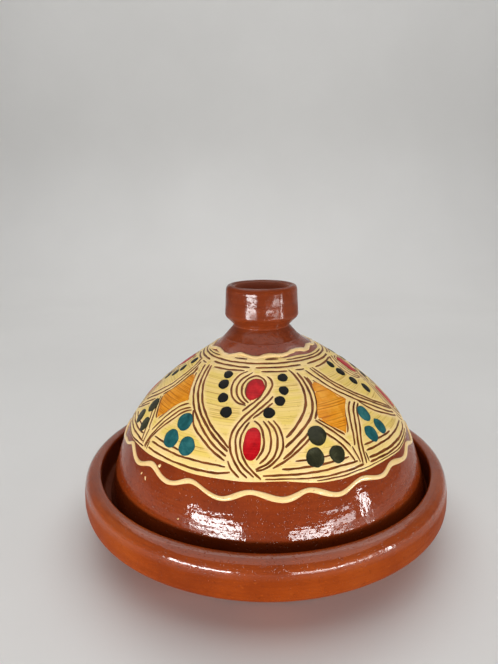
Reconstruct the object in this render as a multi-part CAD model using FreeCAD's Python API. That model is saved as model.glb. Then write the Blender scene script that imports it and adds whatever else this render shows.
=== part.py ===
import FreeCAD, Part
import math
import os

from FreeCAD import Vector

# ---------------------------------------------------------------------------
# Glazed terracotta tagine: a shallow round dish with an inner seat ledge, and
# a domed conical lid with a cup-shaped knob that lifts straight off the dish.
# Millimetres, +Z up, origin at the centre of the dish's flat underside.
# The side with the medallion in front is -Y.
# ---------------------------------------------------------------------------

# --- dish -------------------------------------------------------------------
dish_radius = 150.0          # largest outside radius of the dish
dish_base_radius = 112.0     # flat underside
dish_height = 55.5           # top of the rim
rim_start_z = 37.0           # widest height, from where the wall leans in to the round rim
dish_lip_radius = 136.6      # inside edge of the rim
seat_z = 34.0                # height of the ledge the lid rests on
seat_outer_radius = 136.0
seat_inner_radius = 123.6
floor_z = 10.5               # cooking floor
floor_radius = 92.0

# --- lid dome ---------------------------------------------------------------
lid_x = 2.0                  # the hand-thrown lid sits a little off the dish axis
lid_wall = 8.5               # wall thickness of the dome
lid_top_z = 158.0            # closed top, where the knob is luted on
lid_foot_radius = 132.9      # outside of the flat foot ring

# --- knob -------------------------------------------------------------------
knob_x = 0.0                 # knob axis, again a little off the dome's axis
knob_foot_radius = 30.8
knob_neck_radius = 22.8
knob_neck_z = 167.5
knob_radius = 29.6
knob_top_z = 199.8
cup_mouth_radius = 21.6      # hollow cup in the top of the knob
cup_floor_radius = 17.5
cup_floor_z = 175.0

# --- fired-on decoration ----------------------------------------------------
slip_thickness = 0.6         # pale slip coat on the dome
slip_low_s = 59.8            # lower edge, as a length up the dome from its foot
slip_high_s = 152.0          # upper edge
paint_thickness = 0.4        # colour patches on the slip
repeats = 4                  # the pattern repeats round the lid
black_dot_radius = 3.4
upper_wave = dict(mean=155.2, amp=1.7, waves=11, width=3.6, height=1.2, phase=3.0)
lower_wave = dict(mean=50.3, amp=2.9, waves=19, width=3.4, height=1.2, phase=-6.5)
bead_sink = 0.15             # the trailed slip is keyed into the clay

# --- dome's outside, radius at height ---------------------------------------
dome_profile = [
    (132.9, 34.0), (131.2, 39.5), (129.7, 45.0), (127.0, 55.0), (123.85, 65.0),
    (119.95, 75.0), (114.9, 85.0), (108.5, 95.0), (100.4, 105.0), (90.6, 115.0),
    (78.8, 125.0), (72.2, 130.0), (65.2, 135.0), (57.8, 140.0), (51.6, 144.0),
    (45.3, 148.0), (38.8, 152.0), (33.2, 156.0), (knob_foot_radius, lid_top_z),
]


def spline(points):
    """An open smooth curve in the XZ half plane through (radius, height)."""
    c = Part.BSplineCurve()
    c.interpolate([Vector(r, 0, z) for r, z in points])
    return c


def line(a, b):
    return Part.LineSegment(Vector(a[0], 0, a[1]), Vector(b[0], 0, b[1])).toShape()


def turned(edges, x=0.0):
    """Solid of revolution about the vertical axis through (x, 0)."""
    face = Part.Face(Part.Wire(edges))
    solid = face.revolve(Vector(0, 0, 0), Vector(0, 0, 1), 360)
    if solid.ShapeType != "Solid":
        solid = solid.Solids[0]
    if solid.Volume < 0:
        solid = solid.reversed()
    solid.translate(Vector(x, 0, 0))
    return solid


# ---------------------------------------------------------------------------
# Dish
# ---------------------------------------------------------------------------
outer = spline([
    (dish_base_radius, 0.0), (115.8, 1.5), (119.6, 5.0), (124.4, 9.1), (131.0, 15.0), (139.0, 22.0),
    (143.75, 26.05), (147.25, 28.9), (149.15, 31.3), (149.85, 34.0), (dish_radius, rim_start_z), ])
rim = spline([
    (dish_radius, rim_start_z), (149.75, 41.5), (149.25, 45.5), (148.7, 48.4), (147.8, 50.8), (146.3, 52.8), (144.15, 54.4),
    (141.75, 55.3), (139.7, dish_height), (137.9, 55.0), (dish_lip_radius, 53.4), (136.2, 50.0), ])
well = spline([
    (seat_inner_radius, seat_z), (122.9, 30.0), (120.8, 24.5), (116.0, 18.0),
    (108.0, 13.2), (100.0, 11.2), (floor_radius, floor_z), ])
base_dish = turned([
    line((0, 0), (dish_base_radius, 0)),
    outer.toShape(),
    rim.toShape(),
    line((136.2, 50.0), (seat_outer_radius, seat_z)),
    line((seat_outer_radius, seat_z), (seat_inner_radius, seat_z)),
    well.toShape(),
    line((floor_radius, floor_z), (0, floor_z)),
    line((0, floor_z), (0, 0)),
])

# ---------------------------------------------------------------------------
# Lid dome: outside curve, and an inside curve one wall thickness in
# ---------------------------------------------------------------------------
dome = spline(dome_profile)
u_first, u_last = dome.FirstParameter, dome.LastParameter
dome_length = dome.length()


def on_dome(s, out=0.0):
    """(radius, height) at the length s up the dome, moved out along the normal."""
    u = dome.parameterAtDistance(s, u_first)
    p = dome.value(u)
    t = dome.tangent(u)[0]
    n = Vector(t.z, 0, -t.x)            # points away from the axis
    return p.x + n.x * out, p.z + n.z * out


inner_points = []
for i in range(17):
    s = 3.0 + (dome_length - 26.0) * i / 16.0
    inner_points.append(on_dome(s, -lid_wall))
inner_points = [(inner_points[0][0] + 0.5, seat_z)] + inner_points[1:]
last_r, last_z = inner_points[-1]
inner = spline(inner_points + [(last_r * 0.45, last_z + 3.6), (0.0, last_z + 4.4)])
apex_z = last_z + 4.4
lid_dome = turned([
    line((inner_points[0][0], seat_z), (lid_foot_radius, seat_z)),
    dome.toShape(),
    line((knob_foot_radius, lid_top_z), (0, lid_top_z)),
    line((0, lid_top_z), (0, apex_z)),
    inner.toShape(),
], lid_x)

# ---------------------------------------------------------------------------
# Knob: waisted neck, flared rim, open cup in its top
# ---------------------------------------------------------------------------
knob_outer = spline([
    (knob_foot_radius, lid_top_z), (28.6, 160.2), (26.6, 162.4), (24.8, 164.5), (23.3, 166.4),
    (knob_neck_radius, knob_neck_z), (23.2, 168.6), (24.7, 170.3), (27.2, 172.9), (29.0, 174.8), (knob_radius, 176.4), ])
knob_side = spline([
    (28.62, 196.2), (28.2, 197.8), (27.3, 199.1), (26.2, 199.65), (24.8, knob_top_z), ])
cup = spline([
    (24.8, knob_top_z), (23.3, 199.3), (22.2, 198.0), (cup_mouth_radius, 195.6), (21.1, 189.0),
    (20.2, 181.0), (cup_floor_radius, 177.0), (12.0, cup_floor_z), ])
lid_knob = turned([
    line((0, lid_top_z), (knob_foot_radius, lid_top_z)),
    knob_outer.toShape(),
    line((knob_radius, 176.4), (28.62, 196.2)),
    knob_side.toShape(),
    cup.toShape(),
    line((12.0, cup_floor_z), (0, cup_floor_z)),
    line((0, cup_floor_z), (0, lid_top_z)),
], knob_x)

# ---------------------------------------------------------------------------
# Slip coat: a thin shell on the dome, between two lengths up its side
# ---------------------------------------------------------------------------
slip_skin = spline([on_dome(slip_low_s + (slip_high_s - slip_low_s) * i / 24.0, slip_thickness) for i in range(25)])
u_low = dome.parameterAtDistance(slip_low_s, u_first)
u_high = dome.parameterAtDistance(slip_high_s, u_first)
slip_coat = turned([
    dome.toShape(u_low, u_high),
    line(on_dome(slip_high_s), on_dome(slip_high_s, slip_thickness)),
    slip_skin.toShape(),
    line(on_dome(slip_low_s, slip_thickness), on_dome(slip_low_s)),
], lid_x)

# layer in which the colour patches lie, on the slip's outer skin
paint_skin = spline([on_dome(slip_low_s + (slip_high_s - slip_low_s) * i / 24.0, slip_thickness + paint_thickness)
                     for i in range(25)])
paint_layer = turned([
    slip_skin.toShape(),
    line(on_dome(slip_high_s, slip_thickness), on_dome(slip_high_s, slip_thickness + paint_thickness)),
    paint_skin.toShape(),
    line(on_dome(slip_low_s, slip_thickness + paint_thickness), on_dome(slip_low_s, slip_thickness)),
], lid_x)


def tangent_frame(theta_deg, s):
    """Point on the dome, and its across, up-the-side and outward directions."""
    th = math.radians(theta_deg)
    u = dome.parameterAtDistance(s, u_first)
    p = dome.value(u)
    t = dome.tangent(u)[0]
    rad = Vector(math.sin(th), -math.cos(th), 0)
    across = Vector(math.cos(th), math.sin(th), 0)
    up = rad * t.x + Vector(0, 0, t.z)
    out = rad * t.z + Vector(0, 0, -t.x)
    return rad * p.x + Vector(lid_x, 0, p.z), across, up, out


def patch(theta_deg, s, outline):
    """Colour patch: an outline in the tangent plane, cut out of the paint layer."""
    p, across, up, out = tangent_frame(theta_deg, s)
    wire = Part.makePolygon([p + across * a + up * b - out * 4.0 for a, b in outline + outline[:1]])
    prism = Part.Face(wire).extrude(out * 8.0)
    solid = paint_layer.common(prism)
    return max(solid.Solids, key=lambda q: q.Volume)


def oval(half_w, half_h, n=20):
    return [(half_w * math.cos(2 * math.pi * k / n), half_h * math.sin(2 * math.pi * k / n)) for k in range(n)]


# patches of one repeat: angle from the front, length up the dome, half sizes
black_spots = [(-28.2, 135.3), (-27.6, 126.4), (-24.0, 115.1), (-19.3, 104.6),
               (12.4, 134.8), (11.1, 123.8), (7.7, 115.2), (1.5, 106.0)]
red_spots = [(-6.2, 125.8, 5.8, 8.6), (-6.1, 83.4, 6.4, 11.2)]
green_spots = [(20.7, 87.2, 6.0, 6.7), (17.7, 72.7, 5.6, 6.5), (26.6, 71.4, 5.0, 5.8)]
teal_spots = [(50.4, 90.8, 5.8, 6.2), (47.2, 76.3, 5.9, 6.3), (55.8, 76.4, 5.7, 6.0)]
lozenges = [(34.4, 104.0, [(-14.6, -1.5), (-9.4, 7.8), (-1.2, 18.5), (10.6, 6.0), (14.6, -0.5), (6.8, -11.5), (-0.6, -18.0), (-5.5, -12.0)])]

turns = [360.0 / repeats * k for k in range(repeats)]
black_dots = Part.makeCompound([patch(a + t, s, oval(black_dot_radius, black_dot_radius * 1.06))
                                for t in turns for a, s in black_spots])
red_seeds = Part.makeCompound([patch(a + t, s, oval(w, h)) for t in turns for a, s, w, h in red_spots])
green_dots = Part.makeCompound([patch(a + t, s, oval(w, h)) for t in turns for a, s, w, h in green_spots])
teal_dots = Part.makeCompound([patch(a + t, s, oval(w, h)) for t in turns for a, s, w, h in teal_spots])
orange_lozenges = Part.makeCompound([patch(a + t, s, o) for t in turns for a, s, o in lozenges])


# ---------------------------------------------------------------------------
# Trailed slip: raised wavy beads that run right round the lid
# ---------------------------------------------------------------------------
def bead(mean, amp, waves, width, height, phase):
    sections = []
    n = waves * 8
    for k in range(n):
        th = 360.0 * k / n
        arg = math.radians(waves * (th - phase))
        s = mean + amp * math.cos(arg)
        p, across, up, out = tangent_frame(th, s)
        radius = dome.value(dome.parameterAtDistance(s, u_first)).x
        slope = -amp * waves * math.sin(arg) / radius
        side = (up - across * slope).normalize()
        half = 0.5 * width
        pts = [p - side * half - out * bead_sink, p - side * half * 0.55 + out * height,
               p + side * half * 0.55 + out * height, p + side * half - out * bead_sink]
        sections.append(Part.makePolygon(pts + pts[:1]))
    solid = Part.makeLoft(sections, True, False, True)
    if solid.ShapeType != "Solid":
        solid = solid.Solids[0]
    if solid.Volume < 0:
        solid = solid.reversed()
    return solid


slip_wave_upper = bead(**upper_wave)
slip_wave_lower = bead(**lower_wave)

nodes = {
    "base_dish": base_dish,
    "lid_dome": lid_dome,
    "lid_knob": lid_knob,
    "slip_coat": slip_coat,
    "slip_wave_upper": slip_wave_upper,
    "slip_wave_lower": slip_wave_lower,
    "black_dots": black_dots,
    "red_seeds": red_seeds,
    "green_dots": green_dots,
    "teal_dots": teal_dots,
    "orange_lozenges": orange_lozenges,
}

os.makedirs("parts", exist_ok=True)
for name, shape in nodes.items():
    box = shape.BoundBox
    print("%-16s solids %2d valid %s volume %.0f mm3 z %.2f..%.2f x %.2f..%.2f" % (
        name, len(shape.Solids), shape.isValid(), shape.Volume, box.ZMin, box.ZMax, box.XMin, box.XMax))
    shape.exportStep("parts/" + name + ".step")
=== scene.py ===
import math
import bpy
import numpy as np
from mathutils import Matrix, Quaternion, Vector
from mathutils.geometry import delaunay_2d_cdt
from mathutils.kdtree import KDTree


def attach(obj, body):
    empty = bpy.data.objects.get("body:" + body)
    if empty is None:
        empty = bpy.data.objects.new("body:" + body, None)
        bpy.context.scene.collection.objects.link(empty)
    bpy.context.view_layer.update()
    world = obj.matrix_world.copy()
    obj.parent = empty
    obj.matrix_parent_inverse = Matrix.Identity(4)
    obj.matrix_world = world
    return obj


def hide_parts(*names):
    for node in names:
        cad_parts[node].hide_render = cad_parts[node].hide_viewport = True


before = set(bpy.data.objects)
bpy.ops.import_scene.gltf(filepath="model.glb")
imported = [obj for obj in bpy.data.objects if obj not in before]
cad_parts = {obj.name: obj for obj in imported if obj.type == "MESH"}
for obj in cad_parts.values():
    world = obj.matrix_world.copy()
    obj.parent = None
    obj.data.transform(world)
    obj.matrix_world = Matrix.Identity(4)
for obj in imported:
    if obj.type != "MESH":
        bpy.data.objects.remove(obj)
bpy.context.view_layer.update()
rng = np.random.default_rng(1147)

# ---------------------------------------------------------------------------
# Profiles, in millimetres (radius, height)
# ---------------------------------------------------------------------------
DOME = [(132.9, 34.0), (131.2, 39.5), (129.7, 45.0), (127.0, 55.0), (123.85, 65.0), (119.95, 75.0),
        (114.9, 85.0), (108.5, 95.0), (100.4, 105.0), (90.6, 115.0), (78.8, 125.0), (72.2, 130.0),
        (65.2, 135.0), (57.8, 140.0), (51.6, 144.0), (45.3, 148.0), (38.8, 152.0), (33.2, 156.0), (30.8, 158.0)]


def spline_through(points, step):
    """Dense points on a smooth curve through the given ones, about step apart."""
    p = np.asarray(points, float)
    t = np.concatenate([[0], np.cumsum(np.linalg.norm(np.diff(p, axis=0), axis=1))])
    n = len(t)
    h = np.diff(t)
    A = np.zeros((n, n))
    b = np.zeros((n, p.shape[1]))
    A[0, 0] = A[-1, -1] = 1.0
    for i in range(1, n - 1):
        A[i, i - 1], A[i, i], A[i, i + 1] = h[i - 1], 2 * (h[i - 1] + h[i]), h[i]
        b[i] = 6 * ((p[i + 1] - p[i]) / h[i] - (p[i] - p[i - 1]) / h[i - 1])
    m = np.linalg.solve(A, b)
    u = np.linspace(0, t[-1], max(2, int(round(t[-1] / step)) + 1))
    k = np.clip(np.searchsorted(t, u, side="right") - 1, 0, n - 2)
    a, c, hk = (t[k + 1] - u)[:, None], (u - t[k])[:, None], h[k][:, None]
    return (m[k] * a ** 3 + m[k + 1] * c ** 3) / (6 * hk) + (p[k] / hk - m[k] * hk / 6) * a + (p[k + 1] / hk - m[k + 1] * hk / 6) * c


dome_pts = spline_through(DOME, 0.25)
dome_s = np.concatenate([[0], np.cumsum(np.linalg.norm(np.diff(dome_pts, axis=0), axis=1))])
dome_t = np.gradient(dome_pts, dome_s, axis=0)
dome_t /= np.linalg.norm(dome_t, axis=1)[:, None]


def lean(z):
    """Sideways drift of the hand-thrown lid and knob with height."""
    z = np.asarray(z, float)
    low = 2.6 - 0.0131 * (z - 39.2)
    k = np.clip((z - 144.0) / 17.0, 0, 1)
    k = k * k * (3 - 2 * k)
    return np.where(z < 144.0, low, 1.23 * (1 - k) - 1.3 * k)


def wobble(th, z):
    """Small departure from round, as a share of the radius."""
    return 1.0 + 0.0016 * np.sin(2 * th + 0.7) + 0.0010 * np.sin(3 * th + 0.02 * z + 1.9)


def radius_at(s):
    return np.interp(s, dome_s, dome_pts[:, 0])


def surf(theta_deg, s, out=0.0):
    """Point on the dome in metres: angle from the front, length up the side, height off the clay."""
    th = np.radians(np.asarray(theta_deg, float))
    s = np.asarray(s, float)
    r = np.interp(s, dome_s, dome_pts[:, 0])
    z = np.interp(s, dome_s, dome_pts[:, 1])
    tr = np.interp(s, dome_s, dome_t[:, 0])
    tz = np.interp(s, dome_s, dome_t[:, 1])
    r = r * wobble(th, z)
    rr = r + tz * out
    zz = z - tr * out
    return np.stack([rr * np.sin(th) + lean(z), -rr * np.cos(th), zz], -1) * 0.001


# ---------------------------------------------------------------------------
# Mesh helpers
# ---------------------------------------------------------------------------
def new_object(name, verts, faces, materials, face_mat=None, uv=None, colors=None, smooth=True):
    me = bpy.data.meshes.new(name)
    me.from_pydata([tuple(v) for v in verts], [], faces)
    for m in materials:
        me.materials.append(m)
    if face_mat is not None:
        me.polygons.foreach_set("material_index", np.asarray(face_mat, np.int32))
    if uv is not None:
        # seamless coordinates round and along the surface, in millimetres
        v = np.asarray(verts, np.float32) * 1000.0
        lay = np.column_stack([v[:, 0], v[:, 1], np.asarray(uv, np.float32)[:, 1]])
        at = me.attributes.new("lay", "FLOAT_VECTOR", "POINT")
        at.data.foreach_set("vector", np.ascontiguousarray(lay, np.float32).ravel())
    for key, vals in (colors or {}).items():
        at = me.attributes.new(key, "FLOAT", "POINT")
        at.data.foreach_set("value", np.asarray(vals, np.float32))
    if smooth:
        me.polygons.foreach_set("use_smooth", np.ones(len(me.polygons), bool))
    me.update()
    ob = bpy.data.objects.new(name, me)
    bpy.context.scene.collection.objects.link(ob)
    return ob


def turned_mesh(name, profile, segs, materials, shift, ridge=None, closed_axis=True):
    """Turned body from a closed half profile that starts and ends on the axis."""
    prof = np.asarray(profile, float)
    th = np.linspace(0, 2 * math.pi, segs, endpoint=False)
    verts, uv = [], []
    run = np.concatenate([[0], np.cumsum(np.linalg.norm(np.diff(prof, axis=0), axis=1))])
    rows = []
    for i, (r, z) in enumerate(prof):
        if r < 1e-6:
            rows.append([len(verts)])
            verts.append(((float(shift(z)) if shift else 0.0), 0.0, z))
            uv.append((0.0, run[i]))
            continue
        w = wobble(th, z)
        rr = r * w
        if ridge is not None:
            rr = rr + ridge(th, run[i], r, z)
        x = rr * np.sin(th) + (float(shift(z)) if shift else 0.0)
        y = -rr * np.cos(th)
        rows.append(list(range(len(verts), len(verts) + segs)))
        verts += list(zip(x, y, np.full(segs, z)))
        uv += list(zip(np.degrees(th) * 2.0, np.full(segs, run[i])))
    faces = []
    for a, b in zip(rows[:-1], rows[1:]):
        if len(a) == 1 and len(b) == 1:
            continue
        for k in range(segs):
            k2 = (k + 1) % segs
            if len(a) == 1:
                faces.append((a[0], b[k2], b[k]))
            elif len(b) == 1:
                faces.append((a[k], a[k2], b[0]))
            else:
                faces.append((a[k], a[k2], b[k2], b[k]))
    v = np.asarray(verts, float) * 0.001
    return new_object(name, v, faces, materials, uv=np.asarray(uv))


# ---------------------------------------------------------------------------
# Materials
# ---------------------------------------------------------------------------
def lin(r, g, b):
    f = lambda c: (c / 255 / 12.92) if c <= 10.3 else ((c / 255 + 0.055) / 1.055) ** 2.4
    return (f(r), f(g), f(b), 1.0)


class Nodes:
    def __init__(self, name):
        self.m = bpy.data.materials.new(name)
        self.m.use_nodes = True
        self.t = self.m.node_tree
        self.bsdf = next(n for n in self.t.nodes if n.type == "BSDF_PRINCIPLED")

    def add(self, kind, **sets):
        n = self.t.nodes.new(kind)
        for k, v in sets.items():
            if hasattr(n, k):
                setattr(n, k, v)
            else:
                n.inputs[k].default_value = v
        return n

    def link(self, a, b):
        self.t.links.new(a, b)

    def coords(self):
        return self.add("ShaderNodeTexCoord").outputs["Object"]

    def noise(self, scale, detail=4.0, rough=0.55, vec=None, distort=0.0):
        n = self.add("ShaderNodeTexNoise")
        n.inputs["Scale"].default_value = scale
        n.inputs["Detail"].default_value = detail
        n.inputs["Roughness"].default_value = rough
        n.inputs["Distortion"].default_value = distort
        self.link(vec if vec is not None else self.coords(), n.inputs["Vector"])
        return n.outputs["Fac"]

    def ramp(self, fac, stops, interp="LINEAR"):
        n = self.add("ShaderNodeValToRGB")
        n.color_ramp.interpolation = interp
        els = n.color_ramp.elements
        while len(els) < len(stops):
            els.new(0.5)
        for e, (p, c) in zip(els, stops):
            e.position = p
            e.color = c if len(c) == 4 else (*c, 1.0)
        self.link(fac, n.inputs["Fac"])
        return n.outputs["Color"]

    def mix(self, fac, a, b, mode="MIX"):
        n = self.add("ShaderNodeMix")
        n.data_type = "RGBA"
        n.blend_type = mode
        n.clamp_factor = True
        for sock, val in ((n.inputs[0], fac), (n.inputs[6], a), (n.inputs[7], b)):
            if isinstance(val, (int, float, tuple)):
                sock.default_value = val
            else:
                self.link(val, sock)
        return n.outputs[2]

    def math(self, op, a, b=0.0, clamp=False):
        n = self.add("ShaderNodeMath")
        n.operation = op
        n.use_clamp = clamp
        for sock, val in ((n.inputs[0], a), (n.inputs[1], b)):
            if isinstance(val, (int, float)):
                sock.default_value = val
            else:
                self.link(val, sock)
        return n.outputs[0]

    def attr(self, name):
        n = self.add("ShaderNodeAttribute")
        n.attribute_name = name
        return n.outputs["Fac"]

    def stretched(self, su, sv):
        """The lay coordinates (round the pot, up its side), scaled."""
        n = self.add("ShaderNodeAttribute")
        n.attribute_name = "lay"
        mp = self.add("ShaderNodeMapping")
        mp.inputs["Scale"].default_value = (su, su, sv)
        self.link(n.outputs["Vector"], mp.inputs["Vector"])
        return mp.outputs["Vector"]

    def height(self, low, high):
        """0 below one height in metres, 1 above the other."""
        n = self.add("ShaderNodeSeparateXYZ")
        self.link(self.coords(), n.inputs[0])
        return self.math("MULTIPLY", self.math("SUBTRACT", n.outputs["Z"], low), 1.0 / (high - low), True)

    def bump(self, height, strength, dist, normal=None):
        n = self.add("ShaderNodeBump")
        n.inputs["Strength"].default_value = strength
        n.inputs["Distance"].default_value = dist
        self.link(height, n.inputs["Height"])
        if normal is not None:
            self.link(normal, n.inputs["Normal"])
        return n.outputs["Normal"]

    def gloss(self, rough=0.42, coat=1.0, coat_rough=0.07, spec=0.03, ior=1.5):
        self.bsdf.inputs["Roughness"].default_value = rough
        self.bsdf.inputs["Coat Weight"].default_value = coat
        self.bsdf.inputs["Coat Roughness"].default_value = coat_rough
        self.bsdf.inputs["Coat IOR"].default_value = 1.5
        self.bsdf.inputs["Specular IOR Level"].default_value = spec
        self.bsdf.inputs["IOR"].default_value = ior


def terracotta(name, dark, mid, light, coat_rough=0.07, ring=0.5, bands=1.0, specks=1.0, coat=1.0, swell=0.10, pit=0.35, foot=None, skin=0.16, thin=None, patch=None):
    """Red-brown clay under a clear glaze, with turning lines, iron specks and pinholes."""
    k = Nodes(name)
    broad = k.noise(14.0, 5.0, 0.6)
    col = k.ramp(broad, [(0.30, dark), (0.52, mid), (0.74, light)])
    streak = k.noise(1.0, 3.0, 0.55, k.stretched(0.012, 0.55))
    col = k.mix(k.math("MULTIPLY", k.ramp(streak, [(0.42, (0, 0, 0)), (0.70, (1, 1, 1))]), 0.35 * bands), col, dark)
    fine = k.noise(420.0, 2.0, 0.5)
    f = 0.55 * specks
    col = k.mix(k.ramp(fine, [(0.63, (0, 0, 0)), (0.74, (f, f, f))]), col, (dark[0] * 0.35, dark[1] * 0.35, dark[2] * 0.4, 1.0))
    pale = k.noise(310.0, 1.0, 0.5)
    f = 0.45 * specks
    col = k.mix(k.ramp(pale, [(0.70, (0, 0, 0)), (0.78, (f, f, f))]), col, (min(1, light[0] * 1.5), light[1] * 1.8, light[2] * 2.0, 1.0))
    if foot is not None:
        # painted shade: the colour darkens towards the foot, where the rim shades the lid
        col = k.mix(k.height(foot[0], foot[1]), (dark[0] * 0.42, dark[1] * 0.42, dark[2] * 0.45, 1.0), col)
    k.link(col, k.bsdf.inputs["Base Color"])
    rings = k.noise(1.0, 2.0, 0.5, k.stretched(0.004, 0.42))
    peel = k.noise(190.0, 3.0, 0.5)
    pits = k.ramp(k.noise(640.0, 1.0, 0.5), [(0.26, (0, 0, 0)), (0.36, (1, 1, 1))])
    n0 = k.bump(k.noise(75.0, 3.0, 0.5), swell, 0.0014)
    n1 = k.bump(rings, ring, 0.0012, n0)
    n2 = k.bump(peel, skin, 0.0006, n1)
    n3 = k.bump(pits, pit, 0.0003, n2)
    k.link(n3, k.bsdf.inputs["Normal"])
    k.link(n3, k.bsdf.inputs["Coat Normal"])
    k.gloss(0.45, coat, coat_rough)
    if thin is not None:
        # the glaze runs thin down the outside: full above one height, a given share below another
        k.link(k.math("ADD", k.math("MULTIPLY", k.height(thin[0], thin[1]), coat - thin[2]), thin[2]), k.bsdf.inputs["Coat Weight"])
    if patch is not None:
        # uneven cover of glaze in patches
        cover = k.ramp(k.noise(patch[0], 2.0, 0.5), [(0.40, (patch[1],) * 3), (0.57, (coat,) * 3)])
        k.link(cover, k.bsdf.inputs["Coat Weight"])
    return k.m


def slip_material(name, field, cream, deep):
    """Pale slip under clear glaze: yellower fields with fine comb hairlines, creamier ribs."""
    k = Nodes(name)
    rib = k.attr("rib")
    hair = k.noise(1.0, 3.0, 0.55, k.stretched(0.014, 1.75))
    hair2 = k.noise(1.0, 2.0, 0.5, k.stretched(0.006, 0.42))
    patchy = k.noise(46.0, 4.0, 0.6)
    fieldc = k.mix(k.math("MULTIPLY", k.ramp(hair2, [(0.40, (0, 0, 0)), (0.66, (1, 1, 1))]), 0.45), field, cream)
    fieldc = k.mix(k.ramp(hair, [(0.34, (0.95, 0.95, 0.95)), (0.45, (0, 0, 0))]), fieldc, deep)
    creamc = k.mix(k.ramp(patchy, [(0.38, (0, 0, 0)), (0.72, (0.6, 0.6, 0.6))]), cream, field)
    col = k.mix(rib, fieldc, creamc)
    col = k.mix(k.ramp(k.noise(520.0, 1.0, 0.5), [(0.68, (0, 0, 0)), (0.76, (0.45, 0.45, 0.45))]), col, deep)
    k.link(col, k.bsdf.inputs["Base Color"])
    n1 = k.bump(hair, 0.35, 0.0004)
    n2 = k.bump(k.noise(240.0, 3.0, 0.5), 0.20, 0.0005, n1)
    k.link(n2, k.bsdf.inputs["Normal"])
    k.link(n2, k.bsdf.inputs["Coat Normal"])
    k.gloss(0.5, 0.45, 0.16)
    return k.m


def groove_material(name, a, b):
    """Red clay laid bare in the combed grooves, glaze pooled over it."""
    k = Nodes(name)
    col = k.ramp(k.noise(120.0, 4.0, 0.6), [(0.32, a), (0.68, b)])
    k.link(col, k.bsdf.inputs["Base Color"])
    n = k.bump(k.noise(500.0, 2.0, 0.5), 0.25, 0.0004)
    k.link(n, k.bsdf.inputs["Normal"])
    k.gloss(0.5, 0.4, 0.18)
    return k.m


def paint_material(name, a, b, c, scale=150.0, coat_rough=0.16, stroke=0.0, coat=0.35, hatch=0.0):
    """Brushed pigment under glaze: uneven load, thin at the rim, brush strokes."""
    k = Nodes(name)
    load = k.noise(scale, 4.0, 0.62, None, 0.4)
    col = k.ramp(load, [(0.30, a), (0.52, b), (0.76, c)])
    if stroke > 0:
        br = k.noise(1.0, 3.0, 0.6, k.stretched(0.02, 0.75))
        col = k.mix(k.math("MULTIPLY", k.ramp(br, [(0.45, (0, 0, 0)), (0.68, (1, 1, 1))]), stroke), col, c)
    if hatch > 0:
        # the comb's hairlines show dark through thin colour
        hair = k.noise(1.0, 2.0, 0.5, k.stretched(0.022, 1.25))
        col = k.mix(k.math("MULTIPLY", k.ramp(hair, [(0.36, (1, 1, 1)), (0.47, (0, 0, 0))]), hatch), col, (a[0] * 0.72, a[1] * 0.62, a[2] * 0.6, 1.0))
    edge = k.attr("edge")
    col = k.mix(k.math("MULTIPLY", edge, 0.6), col, a)
    k.link(col, k.bsdf.inputs["Base Color"])
    n = k.bump(k.noise(330.0, 3.0, 0.55), 0.22, 0.0005)
    k.link(n, k.bsdf.inputs["Normal"])
    k.link(n, k.bsdf.inputs["Coat Normal"])
    k.gloss(0.45, coat, coat_rough)
    return k.m


def trail_material(name, a, b):
    k = Nodes(name)
    col = k.ramp(k.noise(60.0, 4.0, 0.6), [(0.34, a), (0.70, b)])
    col = k.mix(k.ramp(k.noise(480.0, 1.0, 0.5), [(0.66, (0, 0, 0)), (0.75, (0.4, 0.4, 0.4))]), col, lin(150, 100, 55))
    k.link(col, k.bsdf.inputs["Base Color"])
    n = k.bump(k.noise(260.0, 3.0, 0.5), 0.25, 0.0005)
    k.link(n, k.bsdf.inputs["Normal"])
    k.gloss(0.45, 1.0, 0.08)
    return k.m


# the lid's colour darkens between 40 and 54 mm up: painted shade from the dish rim
m_lid = terracotta("lid_glazed_clay", lin(106, 37, 10), lin(133, 51, 13), lin(149, 65, 22), 0.05, 0.06, 1.0, 0.7, 0.8, 0.28, 0.8, (0.040, 0.054), 0.30)
m_knob = terracotta("knob_glazed_clay", lin(96, 36, 14), lin(124, 51, 20), lin(142, 64, 30), 0.12, 0.03, 1.0, 0.6, 0.62, 0.30, 0.5, skin=0.26, patch=(95.0, 0.18))
m_dish = terracotta("dish_glazed_clay", lin(117, 44, 11), lin(141, 58, 13), lin(156, 71, 21), 0.10, 0.12, 1.0, 0.45, 1.0, 0.22, 0.6, skin=0.24, thin=(0.0445, 0.0495, 0.04))
m_well = terracotta("dish_well_clay", lin(104, 38, 13), lin(134, 51, 18), lin(150, 64, 25), 0.14, 0.35, 1.0, 0.6, 0.8)
# darker than the outside: painted shade for the gap between lid and rim
m_inside_painted_shade = terracotta("dish_inside_clay_painted_shade", lin(76, 29, 11), lin(104, 41, 16), lin(122, 52, 22), 0.35, 0.3, 1.0, 0.8, 0.1)
m_cup = terracotta("knob_cup_clay", lin(150, 78, 52), lin(178, 100, 70), lin(194, 118, 86), 0.12, 0.2, 1.0, 0.6, 0.8)
m_slip = slip_material("combed_slip", lin(231, 201, 104), lin(245, 212, 150), lin(186, 140, 62))
m_groove = groove_material("combed_groove_clay", lin(90, 44, 18), lin(134, 74, 33))
m_black = paint_material("black_paint", lin(5, 4, 3), lin(12, 10, 7), lin(26, 21, 16), 150.0, 0.2, 0.0, 0.25)
m_red = paint_material("red_paint", lin(142, 7, 15), lin(184, 9, 21), lin(210, 38, 40), 110.0, 0.16, 0.4)
m_green = paint_material("green_paint", lin(32, 33, 20), lin(50, 50, 32), lin(80, 80, 56), 130.0)
m_teal = paint_material("teal_paint", lin(18, 62, 64), lin(33, 90, 93), lin(58, 118, 118), 120.0)
m_orange = paint_material("orange_paint", lin(204, 119, 18), lin(226, 144, 28), lin(238, 170, 58), 90.0, 0.14, 0.5, 0.35, 0.8)
m_trail = trail_material("trailed_slip", lin(236, 198, 130), lin(247, 213, 154))

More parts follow.
